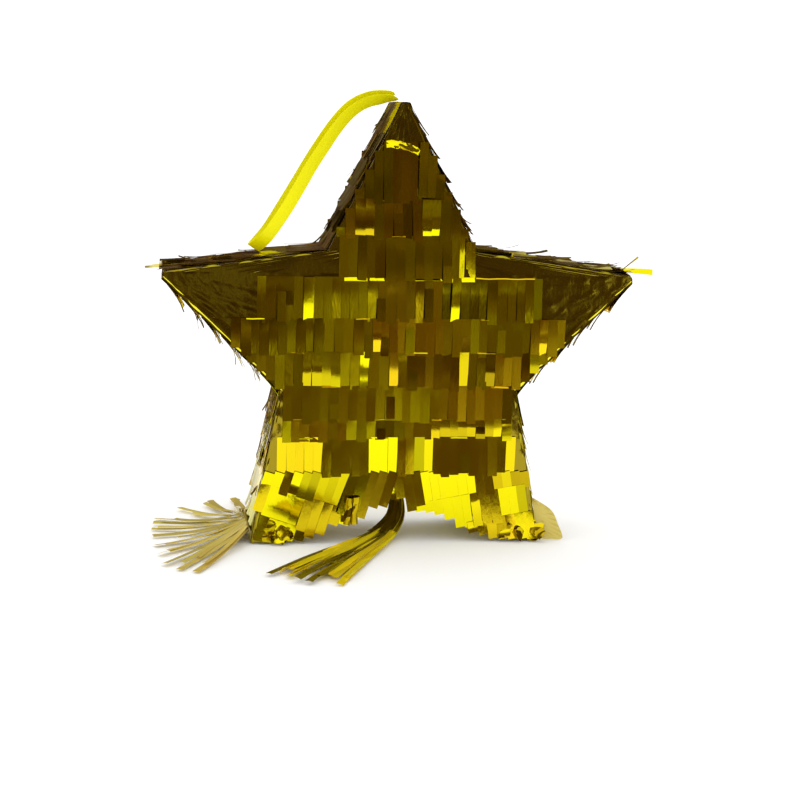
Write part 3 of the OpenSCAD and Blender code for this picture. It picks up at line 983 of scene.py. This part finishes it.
def nose_wrap(pile, i):
    """The film over the blunt end of a point, between corners i and i + 1."""
    a, b = corner(i), corner(i + 1)
    out = unit((a + b) / 2 - TIPS_CENTRE)

    def wrapped(s, y):
        p = a + (b - a) * s
        sag = (abs(s - 0.5) / 0.85) ** 2 * 1.6 - 0.2
        rise = 0.5 * MM * abs(noise.noise((s * 2, y * 130, i))) + (0.3 - sag) * MM
        return p[0] + out[0] * rise, y, p[1] + out[1] * rise

    grid = sheet(np.linspace(-0.35, 1.35, 5), np.linspace(FRONT_Y, BACK_Y, 25), wrapped)
    # A low tone: a painted dark reflection on the film over the point
    pile.add(grid[::-1], (0.3, 0.4, 0.4))


TIPS_CENTRE = np.array([0, sum(t[1] for t in TIPS) / 5])


# Length of the single strip at the end of each arm, left and right
ARM_STREAMER = {-1: 17 * MM, 1: 29 * MM}
# The corner before each blunt point, by the wall that its film is made with
NOSES = {0: 1, 3: 4, 14: 13}


def make_walls():
    for i, name in WALLS.items():
        rng = random.Random(900 + i)
        pile = Pile()
        wall_skin(pile, i)
        wall_tabs(pile, i, rng)
        if i in NOSES:
            nose_wrap(pile, NOSES[i])
        if i in (3, 14):
            sign = -1 if i == 3 else 1
            low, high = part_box("side_fringe_" + name)
            end = low.x if sign < 0 else high.x
            z = corner(4 if sign < 0 else 14)[1]
            reach = ARM_STREAMER[sign]
            start = (end - sign * reach, 0, z + 1 * MM)
            strand(pile, rng, start, (sign, -0.1, 0.02), reach + 0.5 * MM, 5 * MM, (0.9, 0.9, 0.3),
                   1.5 * MM, 0.5, (0, 0.8, 0.6))
            strand(pile, rng, (start[0] - sign * 2 * MM, -3 * MM, z), (sign, -0.4, -0.05), 11 * MM, 4 * MM,
                   (0.6, 0.1, 0.3), 1 * MM, 0.8, (0, 0.8, 0.6))
            if sign > 0:
                strand(pile, rng, (start[0] - 4 * MM, -20 * MM, z), (1, -0.3, 0.9), 21 * MM, 1.8 * MM,
                       (0.2, 0.2, 0.3), 0, 0.8)
        pile.build(f"{name}_strips", [f"side_fringe_{name}"])


make_walls()

# ---------- flap foil, hanger and fan ----------

def make_flap_film():
    pile = Pile()
    gap = 0.6 * MM
    # A lowered tone: a painted dark reflection on the flap's film
    skin_block(pile, 1, WINDOW_LOW.z + gap, WINDOW_HIGH.z - gap, lambda z: WINDOW_LOW.x + gap,
               lambda z: WINDOW_HIGH.x - gap, (0.45, 0.25, 0.25))
    pile.build("flap_film_skin", ["flap_foil"], "flap", "film_gold", SKIN)


def make_hanger():
    pile = Pile()
    low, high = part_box("tassel_hanger")
    rng = random.Random(5)
    for k in (-1, 0, 1):
        # A lowered tone: a painted dark reflection on the hanger strips
        strand(pile, rng, (k * 1.8 * MM, TIE[1] + k * 0.3 * MM, high.z - 0.4 * MM), (0, 0, -1),
               high.z - low.z, 2.6 * MM, (0.4, 0.2, 0.4), 0, 0.3, (1, 0, 0))
    pile.build("hanger_strips", ["tassel_hanger"], "star", "film_gold")


FAN_H = 34 * MM
PLEATS = 26


def make_fan():
    low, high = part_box("right_leg_fan")
    root, edge = corner(11), unit(corner(12) - corner(11))
    fan_w = high.x - root[0]
    rim = smooth_route([(root[0] + edge[0] * FAN_H + 2 * MM, 0, root[1] + edge[1] * FAN_H),
                        (root[0] + 0.52 * fan_w, 0, 0.7 * FAN_H), (root[0] + 0.82 * fan_w, 0, 0.36 * FAN_H),
                        (root[0] + fan_w, 0, 1.6 * MM), (root[0] + 0.5 * fan_w, 0, 0.9 * MM),
                        (root[0] + 1.5 * MM, 0, 1.4 * MM)], 12)
    pile = Pile()
    grid = np.zeros((12, len(rim), 3))
    for c, outer in enumerate(rim):
        share = c / (len(rim) - 1)
        inner = np.array([root[0] + edge[0] * FAN_H * (1 - share) + 1 * MM, 0, 0])
        inner[2] = max(root[1] + edge[1] * FAN_H * (1 - share), 1.4 * MM)
        for r, v in enumerate(np.linspace(0, 1, 12)):
            pleat = sin(share * PLEATS * pi) * 0.5
            grid[r, c] = inner + (outer - inner) * v
            grid[r, c, 1] = low.y + 0.3 * MM + 0.4 * MM * pleat * v - 2.5 * MM * sin(v * 2.4)
    pile.add(grid[:, ::-1], (0.55, 0.7, 0.6))
    pile.build("right_leg_fan_pleats", ["right_leg_fan"], "star", "streamer_pale", PALE_STRIP, PALE_STRIP)


make_flap_film()
make_hanger()
make_fan()

# ---------- streamers ----------

# Ends of the left tassel's streamers, as in the CAD: x and y in millimetres
STREAMER_ENDS = [(-153, -116), (-166, -109), (-174, -98), (-178, -70), (-181, -45), (-183, -20), (-185, 5),
                 (-184, 22), (-182, 40), (-165, 70), (-140, 92), (-120, 104)]
HEADER_HALF = 30 * MM
STREAMER_W = 5.6 * MM


def make_left_tassel():
    rng = random.Random(77)
    pile = Pile()

    def rolled(y, turn):
        radius = (2.3 - 0.11 * turn) * MM * (1 + 0.1 * noise.noise((y * 160, turn, 3)))
        return LEFT_TIE[0] + radius * cos(turn), y, LEFT_TIE[2] + radius * sin(turn)

    grid = sheet(np.linspace(-HEADER_HALF, HEADER_HALF, 21), np.linspace(0, 3.2 * pi, 26), rolled)
    pile.add(grid, (0.5, 0.4, 0.4))
    last = len(STREAMER_ENDS) - 1
    for i, end in enumerate(STREAMER_ENDS):
        for layer in range(2):
            spread = rng.gauss(0, 1.5) if layer == 0 else rng.gauss(0, 5)
            share = 1.0 if layer == 0 else rng.uniform(0.7, 0.98)
            y0 = (HEADER_HALF - 2.5 * MM) * (2 * i / last - 1) + rng.gauss(0, 1) * MM
            start = np.array([LEFT_TIE[0] - 1 * MM, y0, LEFT_TIE[2] + (layer * 1.4 - 1) * MM])
            run = np.array([end[0] * MM, end[1] * MM, 1 * MM]) - start
            sideways = unit(np.cross([0, 0, 1], run))
            s = np.linspace(0, 1, 14)
            route = start + run * (s * share)[:, None] + sideways * (
                spread * MM * s ** 1.5 + rng.gauss(0, 1.5) * MM * np.sin(s * 3))[:, None]
            route[:, 2] = (start[2] * (1 - s) ** 2.2 + (0.7 + 1.1 * layer) * MM
                           + rng.uniform(0, 3.0) * MM * s ** 2 * (1 - 0.5 * s))
            turn = rng.gauss(0, 0.06) + rng.gauss(0, 0.12) * s
            wide = [sideways * cos(t) + np.array([0, 0, 1]) * sin(t) for t in turn]
            width = STREAMER_W if layer == 0 else rng.uniform(3.0, 5.0) * MM
            route[:, 2] += np.abs(np.sin(turn)) * width / 2
            sweep(pile, route, wide, width / 2, (rng.uniform(0.35, 1), rng.uniform(0.3, 1), rng.random()),
                  cup=0.25 * MM)
    pile.build("left_tassel_streamers", ["left_tassel"], "left_streamers", "streamer_pale",
               PALE_STRIP, PALE_STRIP)


# The crotch tassel's middle line and half width, as in the CAD, in millimetres from its tie
TASSEL_LINE = [(1, 1.5, -3), (5, -2, -15), (3, -14, -28), (-8, -32, -36), (-22, -52, -38.7),
               (-38, -76, -39.7), (-54, -102, -40.2), (-68, -126, -40.2), (-82, -150, -40.2)]
TASSEL_HALF = [3, 4.5, 6.5, 10, 14, 19, 24, 28, 32]
# How far along it dark strips cover the tassel: sheets laid over the strips near the tie, as painted shade
ROOT_SHARE = 0.45
# Share of the strips in full tone; the rest get a painted dark reflection
BRIGHT_SHARE = 0.66
TASSEL_STRIPS = 22


def make_crotch_tassel():
    rng = random.Random(12)
    pile = Pile()
    middle = smooth_route(TASSEL_LINE, 4) * MM + TIE
    spread = np.interp(np.linspace(0, 8, len(middle)), range(9), TASSEL_HALF) * MM
    ahead = unit(np.array([TASSEL_LINE[8][0], TASSEL_LINE[8][1], 0.0]))
    across = np.array([-ahead[1], ahead[0], 0])
    along = np.gradient(middle, axis=0)
    along /= np.linalg.norm(along, axis=1, keepdims=True)
    normal = np.cross(along, across)
    if normal[-1][2] < 0:
        normal = -normal
    s = np.linspace(0, 1, len(middle))
    for k in range(TASSEL_STRIPS):
        place = -0.93 + 1.86 * (k + rng.uniform(-0.3, 0.3)) / (TASSEL_STRIPS - 1)
        depth = rng.uniform(-1, 1)
        share = rng.uniform(0.9, 1.02)
        keep = min(len(middle), int(share * len(middle)))
        wander = rng.gauss(0, 2.2) * MM
        route = (middle + across * (place * spread * 0.92 + wander * s ** 2)[:, None]
                 + normal * (depth * np.interp(s, (0, 0.4, 1), (2.2, 1.6, 0.9)) * MM)[:, None])
        lift = (0.9 + 0.9 * (depth + 1)) * MM + np.abs(np.sin(s * rng.uniform(2, 5) + k)) * 1.6 * MM * s
        route[:, 2] = np.maximum(route[:, 2], lift)
        route = route[:keep]
        tilt = rng.gauss(0, 0.5)
        wide = []
        for i in range(keep):
            t = tilt * sin(i * 0.22 + k) + (1.1 if k % 2 else -1.1) * max(0, 0.35 - s[i])
            wide.append(across * cos(t) + normal[i] * sin(t))
        half = np.interp(s[:keep], (0, 0.25, 0.5, 1), (1.6, 2.2, 2.6, 3.0)) * rng.uniform(0.75, 1.1) * MM
        route[:, 2] = np.maximum(route[:, 2], 0.6 * MM + half * np.abs([w[2] for w in wide]))
        if k % 2 == 0:
            # Every other strip gets a dark sheet over its root: painted shade near the tie
            root = int(ROOT_SHARE * len(route))
            sweep(pile, route[:root] + normal[:root] * 1.2 * MM, wide[:root], half[:root] * 0.9,
                  (0.0, 0.2, 0.3), cup=0.3 * MM)
        bright = rng.uniform(0.85, 1) if rng.random() < BRIGHT_SHARE else rng.uniform(0, 0.12)
        sweep(pile, route, wide, half, (bright, rng.uniform(0.3, 1), rng.random() ** 2), cup=0.3 * MM)
    collar = np.zeros((9, 30, 3))
    for r, z in enumerate(np.linspace(3.2, -3.6, 9)):
        for c, turn in enumerate(np.linspace(0, 2.1 * pi, 30)):
            radius = (3.9 - 0.09 * (z * z) + 0.3 * c / 30
                      + 0.5 * noise.noise((cos(turn) * 2, sin(turn) * 2, z * 0.8))) * MM
            collar[r, c] = TIE + np.array([radius * cos(turn), radius * sin(turn), z * MM])
    # A low tone: a painted dark reflection on the tassel's collar
    pile.add(collar, (0.3, 0.2, 0.4))
    for k in range(9):
        turn = k * 0.7
        start = TIE + np.array([2.4 * MM * cos(turn), 2.4 * MM * sin(turn), 4.0 * MM])
        strand(pile, rng, start, (0.1 * cos(turn), 0.1 * sin(turn), -1), 9 * MM, 3 * MM,
               (0.4, 0.3, 0.4), 0, 0.5, (-sin(turn), cos(turn), 0))
    pile.build("crotch_tassel_streamers", ["crotch_tassel"], "crotch_streamers", "streamer_gold",
               TASSEL, TASSEL)


make_left_tassel()
make_crotch_tassel()

# ---------- finish of the card, tape and knot ----------

BANDS = [node for node in NODES if node.startswith("band_")]
FINISHES = {"corner_tapes": TAPE, "loop_knot": RIBBON,
            **dict.fromkeys(["front_panel", "back_panel", "fill_flap", "loop_washer", *BANDS], CARD)}
for node, finish in FINISHES.items():
    NODES[node].data.materials.clear()
    NODES[node].data.materials.append(finish)
